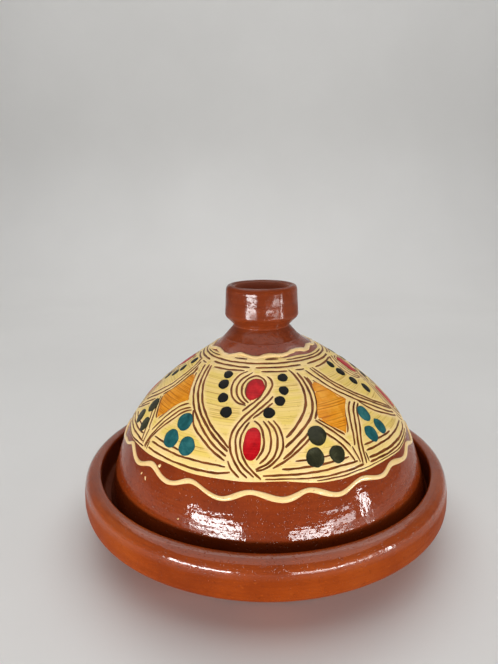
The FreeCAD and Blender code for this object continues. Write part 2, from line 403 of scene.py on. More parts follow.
# ---------------------------------------------------------------------------
# Dish
# ---------------------------------------------------------------------------
outer = spline_through([(112.0, 0.0), (115.8, 1.5), (119.6, 5.0), (124.4, 9.1), (131.0, 15.0), (139.0, 22.0),
                        (143.75, 26.05), (147.25, 28.9), (149.15, 31.3), (149.85, 34.0), (150.0, 37.0), (149.75, 41.5), (149.25, 45.5),
                        (148.7, 48.4), (147.8, 50.8), (146.3, 52.8), (144.15, 54.4), (141.75, 55.3)], 0.7)
lip = spline_through([(141.75, 55.3), (139.7, 55.55), (138.1, 55.45), (137.0, 54.9), (136.4, 53.7), (136.2, 50.0)], 0.4)
wall = np.array([(136.2, 50.0), (136.1, 45.0), (136.05, 40.0), (136.0, 36.2), (135.6, 34.7), (134.4, 34.0)])
ledge = np.array([(134.4, 34.0), (130.0, 34.0), (126.0, 34.0), (124.4, 33.9)])
well = spline_through([(124.4, 33.9), (123.4, 32.4), (122.6, 29.0), (120.6, 24.3), (116.0, 18.0), (108.0, 13.2),
                       (100.0, 11.2), (92.0, 10.5)], 1.2)
floor_run = np.array([(92.0, 10.5), (80, 10.4), (68, 10.5), (56, 10.35), (44, 10.5), (30, 10.4), (16, 10.5), (6, 10.4), (0, 10.4)])
under = np.array([(0, 0.0), (40, 0.0), (80, 0.0), (104, 0.0), (110.5, 0.0), (112.0, 0.0)])
dish_prof = np.vstack([under[:-1], outer, lip[1:], wall[1:], ledge[1:], well[1:], floor_run[1:]])


def dish_ridge(th, run, r, z):
    if z < 0.8:
        return 0.0
    soft = 0.04 * np.sin(run * 0.62 + 0.5 * np.sin(th + 1.0)) + 0.02 * np.sin(run * 1.31 + 2.0 * np.sin(2 * th))
    dents = 0.20 * np.sin(5 * th + 0.03 * run) * np.sin(3 * th - 0.02 * run + 1.0)
    return soft + dents


dish = turned_mesh("base_dish_glazed", dish_prof, 320, [m_dish, m_inside_painted_shade, m_well], None, dish_ridge)
inside = np.zeros(len(dish.data.polygons), np.int32)
for p in dish.data.polygons:
    c = p.center * 1000
    r = math.hypot(c.x, c.y)
    if c.z > 9 and ((r < 136.9 and c.z < 52.5)):
        if not (r > 112 and c.z < 9.0):
            # the wall below the rim's inner edge and the ledge take the darker colour, painted shade for the gap under
            # the lid; the well takes its own
            if r < 136.6 and p.normal.x * c.x + p.normal.y * c.y < 0.5 * r and (p.normal.z > 0.2 or p.normal.x * c.x + p.normal.y * c.y < 0):
                inside[p.index] = 1 if c.z > 31.0 else 2
dish.data.polygons.foreach_set("material_index", inside)
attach(dish, "base")
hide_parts("base_dish")

# ---------------------------------------------------------------------------
# Lid dome: outside, closed top, inside, foot
# ---------------------------------------------------------------------------
WALL = 8.5
s_in = np.linspace(3.0, dome_s[-1] - 23.0, 90)
n_r = np.interp(s_in, dome_s, dome_t[:, 1])
n_z = -np.interp(s_in, dome_s, dome_t[:, 0])
in_r = np.interp(s_in, dome_s, dome_pts[:, 0]) - n_r * WALL
in_z = np.interp(s_in, dome_s, dome_pts[:, 1]) - n_z * WALL
keep = in_z > 35.2
inner_pts = np.stack([in_r[keep], in_z[keep]], -1)
top_r, top_z = inner_pts[-1]
crown = spline_through([tuple(inner_pts[-1]), (top_r * 0.72, top_z + 2.2), (top_r * 0.38, top_z + 3.6), (0.0, top_z + 4.2)], 1.2)
crown[-1, 0] = 0.0
foot_in = inner_pts[0][0] + 0.4
out_pts = np.stack([np.interp(np.arange(0, dome_s[-1], 0.95), dome_s, dome_pts[:, 0]),
                    np.interp(np.arange(0, dome_s[-1], 0.95), dome_s, dome_pts[:, 1])], -1)
out_pts = np.vstack([out_pts, dome_pts[-1]])
out_pts[0] = (132.2, 34.0)
foot = np.array([(foot_in + 0.5, 34.0), (foot_in + 3, 34.0), (131.0, 34.0)])
lid_prof = np.vstack([crown[::-1], inner_pts[::-1][1:], [(foot_in, 34.6)], foot, out_pts,
                      [(20.0, 158.0), (0.0, 158.0)]])


def lid_ridge(th, run, r, z):
    if z < 34.5 or r < 31.5:
        return 0.0
    return 0.020 * np.sin(run * 0.55 + 0.8 * np.sin(th)) + 0.008 * np.sin(run * 1.3 + 1.3 * np.sin(2 * th + 1))


lid = turned_mesh("lid_dome_glazed", lid_prof, 320, [m_lid], lean, lid_ridge)
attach(lid, "lid")
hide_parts("lid_dome")

# ---------------------------------------------------------------------------
# Knob
# ---------------------------------------------------------------------------
neck = spline_through([(31.0, 157.6), (28.6, 160.2), (26.6, 162.4), (24.8, 164.5), (23.3, 166.4), (22.8, 167.5), (23.2, 168.6),
                       (24.7, 170.3), (27.2, 172.9), (29.0, 174.8), (29.6, 176.4)], 0.4)
side = np.vstack([np.stack([np.linspace(29.6, 28.62, 38), np.linspace(176.4, 196.2, 38)], -1),
                  spline_through([(28.62, 196.2), (28.2, 197.8), (27.3, 199.1), (26.2, 199.65), (24.8, 199.8)], 0.4)[1:]])
cup = spline_through([(24.8, 199.8), (23.3, 199.3), (22.2, 198.0), (21.6, 195.6), (21.1, 189.0), (20.2, 181.0), (17.5, 177.0),
                      (12.0, 175.2), (6.0, 175.0), (0.0, 175.2)], 0.8)
cup[-1, 0] = 0.0
knob_prof = np.vstack([[(0, 157.6), (14, 157.6), (24, 157.6)], neck, side[1:], cup[1:]])


def knob_ridge(th, run, r, z):
    if z < 159:
        return 0.0
    k = min(1.0, (z - 159) / 3.0)
    return k * (0.006 * np.sin(run * 1.7 + 0.6 * np.sin(th)) + 0.10 * np.sin(4 * th + 0.05 * z) * np.sin(3 * th + 1.0))


knob = turned_mesh("lid_knob_glazed", knob_prof, 224, [m_knob, m_cup], lean, knob_ridge)
in_cup = np.zeros(len(knob.data.polygons), np.int32)
for p in knob.data.polygons:
    c = p.center * 1000
    if c.z > 174.0 and math.hypot(c.x - float(lean(c.z)), c.y) < 22.6:
        in_cup[p.index] = 1
knob.data.polygons.foreach_set("material_index", in_cup)
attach(knob, "lid")
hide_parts("lid_knob")

# ---------------------------------------------------------------------------
# Combed lines of one repeat: (angle from the front, length up the dome, mm)
# ---------------------------------------------------------------------------
COMB = [
    # left frame of the medallion
    (1.35, [(-49.3, 139.6), (-46.5, 132.8), (-44.0, 125.9), (-39.9, 117.8), (-35.9, 110.2), (-31.5, 103.4), (-25.5, 94.2), (-19.1, 85.9), (-14.4, 79.2)]),
    (1.5, [(-52.4, 139.4), (-49.0, 130.4), (-45.1, 121.3), (-40.6, 112.9), (-35.9, 105.2), (-31.6, 98.8), (-25.5, 90.6), (-19.1, 82.2), (-14.6, 76.9)]),
    (1.3, [(-57.0, 138.0), (-53.3, 130.3), (-48.9, 121.0), (-44.6, 113.2), (-39.0, 104.6), (-34.6, 98.2), (-31.2, 93.9), (-25.5, 85.7), (-19.1, 77.9), (-14.9, 73.4)]),
    (1.3, [(-37.1, 100.6), (-34.8, 94.2), (-32.4, 89.6), (-28.1, 84.2), (-23.6, 79.2), (-19.1, 74.2), (-15.2, 70.6)]),
    # upper right edge of the lozenge on the left
    (1.2, [(-57.0, 128.6), (-53.6, 122.2), (-50.2, 116.4), (-47.2, 110.8), (-44.8, 106.6)]),
    # lower right edge of that lozenge and the arcs under it
    (1.1, [(-45.3, 105.4), (-48.6, 101.6), (-51.2, 95.4), (-53.2, 88.4), (-55.0, 83.6)]),
    (1.25, [(-42.2, 103.8), (-45.9, 100.3), (-48.6, 94.8), (-50.8, 88.0), (-52.6, 80.8), (-54.2, 74.2)]),
    (1.3, [(-39.6, 101.4), (-44.0, 97.6), (-46.7, 92.1), (-48.9, 85.9), (-51.0, 78.4), (-52.6, 70.0), (-53.4, 61.4)]),
    (1.25, [(-38.2, 99.8), (-41.2, 97.4), (-44.2, 92.1), (-46.6, 85.9), (-48.8, 80.6), (-50.7, 74.4), (-52.2, 66.0), (-52.6, 61.0)]),
    # right frame of the medallion
    (1.5, [(19.0, 141.2), (21.4, 136.5), (22.8, 131.5), (23.3, 125.2), (22.6, 117.8), (21.0, 110.2), (18.1, 103.8), (14.3, 96.8), (10.7, 91.0), (8.0, 87.4)]),
    (1.5, [(24.4, 137.6), (25.9, 132.1), (26.4, 125.2), (26.0, 117.8), (24.6, 109.2), (22.0, 102.2), (18.5, 95.9), (14.3, 90.2), (10.4, 84.9), (7.2, 80.6)]),
    (1.4, [(28.2, 133.2), (29.4, 127.8), (29.3, 120.9), (27.9, 111.8), (25.4, 103.8), (22.6, 98.4)]),
    (1.35, [(19.2, 91.4), (17.0, 88.2), (12.6, 82.3), (9.1, 77.1), (5.9, 73.2)]),
    (1.2, [(17.6, 85.2), (12.6, 78.9), (9.1, 74.5), (5.6, 70.9), (2.0, 67.4)]),
    (1.2, [(30.0, 131.8), (30.6, 128.4), (30.9, 124.4)]),
    # under the lozenge, on the left of the crossing
    (1.35, [(24.2, 97.4), (27.8, 92.1), (31.0, 86.5), (33.4, 82.8)]),
    (1.3, [(22.5, 97.2), (25.5, 92.1), (28.8, 86.5), (31.7, 79.6), (33.5, 74.2)]),
    (1.3, [(24.8, 87.2), (28.5, 80.3), (30.5, 74.6), (31.8, 69.4), (32.8, 64.6)]),
    (1.1, [(33.9, 73.6), (34.4, 68.2), (34.8, 62.4)]),
    (1.1, [(38.7, 67.4), (38.8, 61.2)]),
    # rope: upper loop
    (1.2, [(-13.8, 140.2), (-17.5, 138.2), (-20.1, 134.6), (-21.5, 129.6), (-21.5, 124.6), (-20.1, 119.2), (-16.8, 114.2), (-12.8, 111.4), (-10.4, 110.9)]),
    (1.2, [(-9.6, 139.6), (-12.2, 137.1), (-15.5, 134.0), (-17.8, 129.0), (-18.0, 124.0), (-16.2, 118.4), (-13.3, 114.2), (-10.8, 112.0)]),
    (1.2, [(-9.2, 113.2), (-12.2, 116.6), (-14.3, 121.5), (-14.7, 127.1), (-12.8, 132.4), (-9.6, 135.6), (-6.2, 136.5), (-2.9, 135.3), (-0.4, 132.2), (0.3, 128.4), (-1.4, 122.8), (-3.6, 117.8), (-6.2, 114.0), (-9.7, 109.0), (-11.6, 106.2)]),
    (1.0, [(-8.1, 114.9), (-11.0, 119.0), (-12.2, 124.6), (-11.0, 130.2), (-8.1, 133.7)]),
    # rope: strand that runs down to the left
    (1.25, [(1.2, 136.2), (3.6, 133.2), (4.6, 129.6), (3.5, 125.2), (0.9, 120.2), (-3.0, 114.0), (-7.2, 107.3), (-10.1, 102.8), (-12.6, 96.5), (-14.3, 89.2), (-14.4, 82.8), (-13.2, 76.2), (-11.0, 69.2), (-8.3, 63.6), (-6.6, 61.4)]),
    (1.2, [(4.4, 118.6), (1.2, 114.2), (-2.0, 110.2), (-5.5, 104.8), (-8.8, 99.2), (-11.0, 94.0), (-12.2, 87.6), (-11.7, 79.6), (-10.1, 72.1), (-7.6, 66.6), (-4.4, 61.8)]),
    (1.1, [(3.8, 113.2), (0.3, 109.2), (-3.0, 105.0), (-6.0, 101.2)]),
    (1.15, [(-7.4, 98.2), (-9.3, 92.8), (-10.3, 86.5), (-9.7, 79.0), (-8.1, 72.2), (-5.3, 66.2), (-2.0, 60.4)]),
    (1.15, [(-13.9, 70.8), (-12.0, 65.0), (-9.3, 61.2)]),
    # rope: lower loop
    (1.25, [(-5.4, 99.4), (-3.0, 96.4), (-1.4, 90.9), (-0.9, 85.2), (-1.7, 78.4), (-3.7, 72.6)]),
    (1.15, [(-1.4, 99.4), (0.8, 94.8), (1.8, 87.8), (1.5, 80.9), (0.0, 74.6), (-2.6, 70.3)]),
    (1.25, [(0.9, 99.6), (3.1, 94.8), (4.4, 87.8), (4.1, 80.9), (2.5, 74.6), (-0.4, 69.6), (-3.9, 66.6)]),
    (1.15, [(3.2, 99.8), (5.4, 94.6), (6.5, 87.8), (6.1, 80.2), (4.5, 74.6), (1.5, 69.6), (-1.4, 66.7), (-3.7, 65.5)]),
    # ring lines, lower edge
    (1.15, [(-50.0, 67.9), (-42.0, 67.7), (-33.0, 67.2), (-24.0, 67.2), (-14.6, 66.8)]),
    (1.2, [(-50.4, 63.2), (-42.0, 62.6), (-33.0, 62.1), (-24.0, 61.9), (-16.0, 62.4), (-12.6, 63.6)]),
    (1.2, [(5.2, 66.6), (12.0, 66.7), (20.0, 67.2), (26.0, 67.6), (31.0, 68.2)]),
    (1.2, [(-1.4, 62.8), (6.0, 63.0), (14.0, 63.0), (22.0, 63.4), (30.0, 63.9), (34.0, 63.6)]),
    (1.1, [(-0.6, 60.6), (8.0, 59.9), (16.0, 59.5), (22.0, 59.4), (26.0, 59.6), (30.0, 60.1), (34.0, 60.7), (36.0, 60.9)]),
    (1.0, [(10.2, 71.3), (15.0, 71.2), (22.0, 71.7), (27.0, 71.6)]),
    (1.1, [(40.0, 71.8), (44.0, 71.7), (52.0, 71.0), (59.0, 70.2)]),
    # ring line under the upper rings
    (1.25, [(-45.6, 139.0), (-38.0, 139.2), (-30.0, 139.6), (-22.0, 140.4), (-16.6, 140.2)]),
    (1.2, [(-3.0, 140.6), (4.0, 140.4), (12.0, 140.0), (17.6, 140.2)]),
    (1.1, [(24.8, 140.2), (28.0, 139.8), (32.4, 139.9)]),
]
# ring lines that run right round: width, mean length, drift, broken spans in degrees of each repeat
RINGS = [(1.35, 147.4, 0.5, []), (1.35, 143.4, 0.5, [(-58.0, -51.0), (-13.0, -8.0)])]
DASHES = [(1.1, 150.6, (22.0, 78.0)), (1.0, 151.9, (-31.0, -17.0)), (1.0, 151.9, (1.0, 14.0)), (1.0, 150.6, (-80.0, -50.0)),
          (1.1, 151.4, (96.0, 128.0)), (1.0, 151.8, (140.0, 170.0)), (1.1, 150.9, (182.0, 226.0)), (1.0, 151.7, (236.0, 262.0))]

SLIP_T = 0.55
LINE = 1.28                      # comb teeth, against the widths listed above
GROOVE_D = 0.46
EDGE = 59.4                      # lower edge of the coat; it dips to LOW on the right
LOW, HIGH = 55.2, 153.6
REF = 95.0                       # mm per radian used for the flat layout


def flat(theta_deg, s):
    return np.stack([np.radians(theta_deg) * REF, np.asarray(s, float)], -1)


def strip(points, width, taper=True):
    """Left, middle and right points of a combed line in the flat layout."""
    p = np.asarray(points, float)
    true = np.stack([np.radians(p[:, 0]) * radius_at(p[:, 1]), p[:, 1]], -1)
    dense = spline_through(p, 1.0) if len(p) > 2 else p[0] + (p[1] - p[0]) * np.linspace(0, 1, 8)[:, None]
    # even steps in real length
    rr = radius_at(dense[:, 1])
    seg = np.hypot(np.diff(np.radians(dense[:, 0])) * 0.5 * (rr[1:] + rr[:-1]), np.diff(dense[:, 1]))
    run = np.concatenate([[0], np.cumsum(seg)])
    n = max(4, int(run[-1] / 1.5))
    u = np.linspace(0, run[-1], n + 1)
    th, s = np.interp(u, run, dense[:, 0]), np.interp(u, run, dense[:, 1])
    ph = rng.uniform(0, 6.28, 3)
    wave = 0.10 * np.sin(u * 0.33 + ph[0]) + 0.06 * np.sin(u * 0.9 + ph[1])
    rr = radius_at(s)
    tx, ty = np.gradient(np.radians(th)) * rr, np.gradient(s)
    ln = np.hypot(tx, ty) + 1e-9
    nx, ny = -ty / ln, tx / ln
    hw = 0.5 * LINE * width * (1.0 + 0.10 * np.sin(u * 0.5 + ph[2]))
    if taper:
        end = np.minimum(u, run[-1] - u)
        hw = hw * np.clip(0.62 + 0.38 * end / 2.2, 0.62, 1.0)
    def at(off):
        return flat(th + np.degrees(off * nx / rr), s + off * ny)
    return at(wave + hw), at(wave), at(wave - hw)


# one arc of the repeat on the right stands a little wider at its foot
NUDGE = {(1, 101.4): (0.0, 0.0, 0.0, -0.2, -0.5, -0.8, -0.9)}
strips = []
for k in range(4):
    for width, pts in COMB:
        jt, js = (0.0, 0.0) if k == 0 else (rng.normal(0, 0.18), rng.normal(0, 0.22))
        slide = NUDGE.get((k, round(pts[0][1], 1)), [0.0] * len(pts))
        p = [(a + 90 * k + jt + d, s + js) for (a, s), d in zip(pts, slide)]
        strips.append(strip(p, width * (1.0 if k == 0 else rng.uniform(0.92, 1.08))))
for width, mean, drift, gaps in RINGS:
    cuts = []
    for k in range(4):
        for a, b in gaps:
            cuts.append((a + 90 * k, b + 90 * k))
    cuts.sort()
    spans = [(-180.0, 180.0)] if not cuts else [(cuts[i][1], cuts[(i + 1) % len(cuts)][0] + (360 if i == len(cuts) - 1 else 0)) for i in range(len(cuts))]
    for a, b in spans:
        th = np.linspace(a, b, max(4, int((b - a) / 4) + 1))
        s = mean + drift * np.cos(np.radians(th)) + 0.25 * np.sin(np.radians(3 * th + 40))
        strips.append(strip(np.stack([th, s], -1), width, taper=bool(cuts)))
for width, mean, (a, b) in DASHES:
    th = np.linspace(a, b, max(4, int((b - a) / 4) + 1))
    strips.append(strip(np.stack([th, mean + 0.2 * np.sin(np.radians(5 * th))], -1), width))

# last two ring lines, where the coat runs lower
strips.append(strip([(39.2, 60.9), (44.0, 60.5), (50.0, 60.0), (58.0, 59.6), (66.0, 59.5), (75.0, 59.6)], 1.0))
main_rng, rng = rng, np.random.default_rng(52)
strips.append(strip([(16.5, 57.0), (20.0, 57.2), (26.0, 57.2), (33.0, 58.1), (41.0, 58.7), (50.0, 57.7), (58.0, 57.1), (66.0, 57.0), (73.0, 57.2)], 0.95))
rng = main_rng

# distance to the nearest line, from points set close along every middle line
X0, X1 = -math.pi * REF, math.pi * REF
mids = []
for L, C, R in strips:
    for a in (-2 * math.pi * REF, 0.0, 2 * math.pi * REF):
        for i in range(len(C) - 1):
            hw = 0.5 * np.linalg.norm((L[i] - R[i]))
            for f in np.linspace(0, 1, 6)[:-1]:
                q = C[i] * (1 - f) + C[i + 1] * f
                x = q[0] + a
                if X0 - 8 < x < X1 + 8:
                    mids.append((x, q[1], max(0.2, hw)))
mids = np.asarray(mids)
tree = KDTree(len(mids))
scale = radius_at(mids[:, 1]) / REF
for i, (x, y, h) in enumerate(mids):
    tree.insert((x, y, 0.0), i)
tree.balance()

verts2, edges2, faces2 = [], [], []


def put(p):
    verts2.append(Vector((float(p[0]), float(p[1]))))
    return len(verts2) - 1


# frame of the sheet, with the same points on both ends so that it closes round the lid
ys = np.concatenate([[LOW, LOW + 0.8], np.arange(LOW + 2.4, HIGH - 2.0, 1.9), [HIGH - 0.8, HIGH]])
left = [put((X0, y)) for y in ys]
right = [put((X1, y)) for y in ys]
xs = np.linspace(X0, X1, 421)[1:-1]
for row, y in (("low", LOW), ("low2", LOW + 0.8), ("high2", HIGH - 0.8), ("high", HIGH)):
    ids = [left[0 if row == "low" else 1 if row == "low2" else len(ys) - 2 if row == "high2" else len(ys) - 1]]
    ids += [put((x, y)) for x in xs]
    ids.append(right[0 if row == "low" else 1 if row == "low2" else len(ys) - 2 if row == "high2" else len(ys) - 1])
    edges2 += list(zip(ids[:-1], ids[1:]))
for side_ids in (left, right):
    edges2 += list(zip(side_ids[:-1], side_ids[1:]))
for L, C, R in strips:
    for a in (-2 * math.pi * REF, 0.0, 2 * math.pi * REF):
        if C[:, 0].max() + a < X0 + 0.01 or C[:, 0].min() + a > X1 - 0.01:
            continue
        sh = np.array([a, 0.0])
        li, ci, ri = [put(q + sh) for q in L], [put(q + sh) for q in C], [put(q + sh) for q in R]
        for i in range(len(C) - 1):
            faces2.append([li[i], ci[i], ci[i + 1], li[i + 1]])
            faces2.append([ci[i], ri[i], ri[i + 1], ci[i + 1]])
# loose points between the lines
for iy, y in enumerate(ys[2:-2]):
    step = 2.0 * REF / max(60.0, radius_at(y))
    row = np.arange(X0 + step * (0.5 if iy % 2 else 1.0), X1 - step * 0.4, step)
    for x in row:
        co, idx, d = tree.find((x, y, 0.0))
        if d > mids[idx][2] + 0.55:
            put((x, y))

out_v, out_e, out_f, ov, oe, of_ = delaunay_2d_cdt(verts2, edges2, faces2, 0, 1e-4, True)
pv = np.array([(v.x, v.y) for v in out_v])
tris, groove = [], []
for f, src in zip(out_f, of_):
    c = pv[list(f)].mean(axis=0)
    if not (X0 < c[0] < X1 and LOW < c[1] < HIGH):
        continue
    if len(f) != 3:
        continue
    tris.append(tuple(f))
    groove.append(1 if len(src) else 0)
tris = np.asarray(tris)
groove = np.asarray(groove)
used = np.unique(tris)
remap = -np.ones(len(pv), int)
remap[used] = np.arange(len(used))
pv, tris = pv[used], remap[tris]
# heights: proud slip, a round-bottomed groove along every line, edges feathered down to the clay
dist = np.empty(len(pv))
half = np.empty(len(pv))
for i, (x, y) in enumerate(pv):
    co, idx, d = tree.find((x, y, 0.0))
    dist[i], half[i] = d, mids[idx][2]
inside = np.clip(1.0 - (dist / np.maximum(half, 0.2)) ** 2, 0, 1)
lip_up = 0.10 * np.exp(-((dist - half - 0.35) / 0.45) ** 2) * (dist > half * 0.98)
h_out = SLIP_T - GROOVE_D * np.sqrt(inside) + lip_up
edge_low, edge_high = pv[:, 1] - LOW, HIGH - pv[:, 1]
edge = np.minimum(edge_low, edge_high)
h_out = np.where(edge < 0.01, -0.12, h_out)
theta = np.degrees(pv[:, 0] / REF)
s_val = pv[:, 1].copy()
below = np.minimum(pv[:, 1] - EDGE, 0.0)
dip = np.interp(theta, [-4, 2, 6, 11, 17, 20, 26, 30, 33, 41, 50, 58, 70, 85, 95], [0.08, 0.12, 0.2, 0.46, 0.76, 0.85, 0.93, 0.78, 0.62, 0.50, 0.62, 0.85, 0.8, 0.3, 0.08])
s_val += below * (dip - 1.0)
from_edge = np.maximum(pv[:, 1] - EDGE, 0.0)
s_val += np.clip(1 - from_edge / 3.0, 0, 1) * (0.45 * np.sin(np.radians(7 * theta + 30)) + 0.25 * np.sin(np.radians(17 * theta)))
s_val += np.clip(1 - edge_high / 1.5, 0, 1) * (0.35 * np.sin(np.radians(11 * theta + 50)) + 1.6 * np.clip(1 - ((theta + 14) / 36.0) ** 4, 0, 1))
s_val -= np.clip(1 - from_edge / 4.0, 0, 1) * 1.3 * np.clip(1.4 - np.abs(theta - 57) / 18.0, 0, 1)
s_val -= np.clip(1 - edge_high / 6.0, 0, 1) * 1.7 * np.clip((np.abs(theta + 4) - 40) / 30.0, 0, 1)
# close the seam at the back
key = {}
join = np.arange(len(pv))
for i in np.where(pv[:, 0] < X0 + 1e-3)[0]:
    key[round(float(pv[i, 1]), 2)] = i
for i in np.where(pv[:, 0] > X1 - 1e-3)[0]:
    y = round(float(pv[i, 1]), 2)
    for yy in (y, round(y + 0.01, 2), round(y - 0.01, 2)):
        if yy in key:
            join[i] = key[yy]
            break
tris = join[tris]
ok = (tris[:, 0] != tris[:, 1]) & (tris[:, 1] != tris[:, 2]) & (tris[:, 0] != tris[:, 2])
tris, groove = tris[ok], groove[ok]
used = np.unique(tris)
remap = -np.ones(len(pv), int)
remap[used] = np.arange(len(used))
tris = remap[tris]
pv, theta, s_val, h_out, dist, half = pv[used], theta[used], s_val[used], h_out[used], dist[used], half[used]
nv = len(pv)
top = surf(theta, s_val, h_out)
low_side = surf(theta, s_val, -0.45)
# turn every triangle to face out
a, b, c = top[tris[:, 0]], top[tris[:, 1]], top[tris[:, 2]]
nrm = np.cross(b - a, c - a)
outward = np.stack([np.sin(np.radians(theta)), -np.cos(np.radians(theta)), np.full(nv, 0.6)], -1)[tris[:, 0]]
flip = (nrm * outward).sum(axis=1) < 0
tris[flip] = tris[flip][:, ::-1]
faces = [tuple(t) for t in tris] + [tuple(x + nv for x in t[::-1]) for t in tris]
fm = list(groove) + [0] * len(tris)
count = {}
for t in tris:
    for i in range(3):
        e = (t[i], t[(i + 1) % 3])
        count[e] = 1
for (i, j) in list(count):
    if (j, i) not in count:
        faces.append((j, i, i + nv, j + nv))
        fm.append(0)
rib = np.clip(1.0 - (dist - half - 0.9) / 1.6, 0, 1)
rib = np.maximum(rib, np.clip((pv[:, 1] - 141.5) / 2.0, 0, 1))
rib = np.maximum(rib, np.clip((66.5 - pv[:, 1]) / 2.0, 0, 1))
uvs = np.stack([theta * 1.66, s_val], -1)
coat = new_object("slip_coat_combed", np.vstack([top, low_side]), faces, [m_slip, m_groove], fm,
                  np.vstack([uvs, uvs]), {"rib": np.concatenate([rib, rib])})
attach(coat, "lid")
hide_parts("slip_coat")


# ---------------------------------------------------------------------------
# Painted patches: raised pads with uneven brushed outlines, lying on the slip
# ---------------------------------------------------------------------------
def pads(name, items, material, node, rise=0.34, rings=9, base=SLIP_T):
    verts, faces, edge, uv = [], [], [], []
    for (th0, s0, outline) in items:
        o = np.asarray(outline, float)
        n = len(o)
        first = len(verts)
        r0 = radius_at(s0)
        def add(a, b, h, e):
            s = s0 + b
            t = th0 + math.degrees(a / max(20.0, float(radius_at(s))))
            verts.append(surf(t, s, h))
            edge.append(e)
            uv.append((t * 1.66, s))
        add(0.0, 0.0, base + rise, 0.0)
        levels = [(f, base + rise * (1 - f ** 5)) for f in np.linspace(0, 1, rings + 1)[1:-1]] + [(0.97, base + rise * 0.45), (1.0, base - 0.05)]
        for f, h in levels:
            for q in o:
                add(q[0] * f, q[1] * f, h, max(0.0, (f - 0.72) / 0.28) ** 2)
        bottom = len(verts)
        for q in o:
            add(q[0] * 0.98, q[1] * 0.98, base - 0.30, 1.0)
        centre = len(verts)
        add(0.0, 0.0, base - 0.30, 1.0)
        nl = len(levels)
        for k in range(n):
            k2 = (k + 1) % n
            faces.append((first, first + 1 + k, first + 1 + k2))
            for l in range(nl - 1):
                p, q = first + 1 + l * n, first + 1 + (l + 1) * n
                faces.append((p + k, q + k, q + k2, p + k2))
            q = first + 1 + (nl - 1) * n
            faces.append((q + k, bottom + k, bottom + k2, q + k2))
            faces.append((centre, bottom + k2, bottom + k))
    ob = new_object(name, np.asarray(verts), faces, [material], None, np.asarray(uv), {"edge": edge})
    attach(ob, "lid")
    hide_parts(node)
    return ob


def blob(half_w, half_h, tilt=0.0, rough=0.06, n=40, egg=0.0, square=1.0):
    a = np.linspace(0, 2 * math.pi, n, endpoint=False)
    ph = rng.uniform(0, 6.28, 4)
    k = 1 + rough * (0.6 * np.sin(2 * a + ph[0]) + 0.5 * np.sin(3 * a + ph[1]) + 0.3 * np.sin(5 * a + ph[2]) + 0.2 * np.sin(7 * a + ph[3]))
    x = half_w * np.sign(np.cos(a)) * np.abs(np.cos(a)) ** square * k * (1 - egg * np.sin(a))
    y = half_h * np.sign(np.sin(a)) * np.abs(np.sin(a)) ** square * k
    c, s = math.cos(tilt), math.sin(tilt)
    return np.stack([c * x - s * y, s * x + c * y], -1)


def poly(points, centre, step=0.8, rounding=2):
    """Closed outline through corners given in (angle, length), as offsets from a centre in millimetres."""
    p = np.asarray(points, float)
    rr = radius_at(p[:, 1])
    q = np.stack([np.radians(p[:, 0] - centre[0]) * rr, p[:, 1] - centre[1]], -1)
    out = []
    for i in range(len(q)):
        a, b = q[i], q[(i + 1) % len(q)]
        m = max(1, int(np.linalg.norm(b - a) / step))
        for k in range(m):
            out.append(a + (b - a) * k / m)
    out = np.asarray(out)
    for _ in range(rounding):
        out = 0.25 * np.roll(out, 1, 0) + 0.5 * out + 0.25 * np.roll(out, -1, 0)
    return out


BLACK = [(-28.2, 135.1, 3.6, 3.7), (-27.7, 126.1, 4.3, 4.2), (-24.1, 114.9, 4.2, 4.0), (-19.5, 104.1, 4.4, 4.5),
         (12.4, 134.3, 3.8, 3.7), (11.0, 123.1, 3.7, 3.7), (7.6, 114.7, 4.0, 4.0), (1.5, 105.5, 4.2, 4.2)]
GREEN = [(20.9, 86.4, 6.9, 7.0), (17.7, 72.2, 6.5, 6.6), (26.5, 71.6, 6.0, 6.0)]
TEAL = [(50.0, 91.0, 5.6, 6.5), (46.6, 76.5, 5.7, 6.5), (54.4, 77.5, 5.5, 6.3)]
# the repeat on the left was set out a little differently
GREEN_LEFT = [(23.5, 88.0, 5.9, 6.6), (19.0, 74.0, 5.8, 6.4), (28.0, 73.5, 5.4, 5.9)]
TEAL_LEFT = [(51.9, 90.4, 6.7, 6.8), (49.4, 76.0, 6.8, 6.9), (58.2, 74.7, 6.8, 6.7)]
ORANGE = [(33.0, 127.6), (35.9, 124.9), (39.7, 118.2), (43.3, 111.3), (46.1, 106.3), (42.5, 102.0), (39.2, 96.4), (36.8, 89.0),
          (34.0, 83.2), (31.1, 87.4), (27.6, 92.6), (24.0, 98.4), (25.4, 103.6), (27.9, 111.2), (29.6, 119.2), (30.2, 124.6)]
black, green, teal, red, orange = [], [], [], [], []
for k in range(4):
    jit = (lambda: 0.0) if k == 0 else (lambda: float(rng.normal(0, 0.35)))
    t0 = 90.0 * k
    for a, s, w, h in BLACK:
        black.append((a + t0 + jit(), s + jit(), blob(w, h, rng.uniform(-0.3, 0.3))))
    loose = 0.0 if k == 3 else 1.0
    for a, s, w, h in (GREEN_LEFT if k == 3 else GREEN):
        green.append((a + t0 + jit() * 0.5 * loose, s + jit() * loose, blob(w, h, rng.uniform(-0.3, 0.3), 0.05)))
    for a, s, w, h in (TEAL_LEFT if k == 3 else TEAL):
        teal.append((a + t0 + jit() * 0.5 * loose, s + jit() * loose, blob(w, h, rng.uniform(-0.3, 0.3), 0.05)))
    red.append((-6.5 + t0, 124.6, blob(6.1, 9.7, -0.27, 0.04, 48, -0.10)))
    red.append((-5.6 + t0, 83.1, blob(5.8, 11.6, -0.05, 0.05, 56, -0.06, 0.88)))
    orange.append((34.4 + t0, 105.0, poly([(a, s) for a, s in ORANGE], (34.4, 105.0), 0.8, 1)))
pads("black_dots_painted", black, m_black, "black_dots")
pads("green_dots_painted", green, m_green, "green_dots")
pads("teal_dots_painted", teal, m_teal, "teal_dots")
pads("red_seeds_painted", red, m_red, "red_seeds")
pads("orange_lozenges_painted", orange, m_orange, "orange_lozenges", rise=0.12)


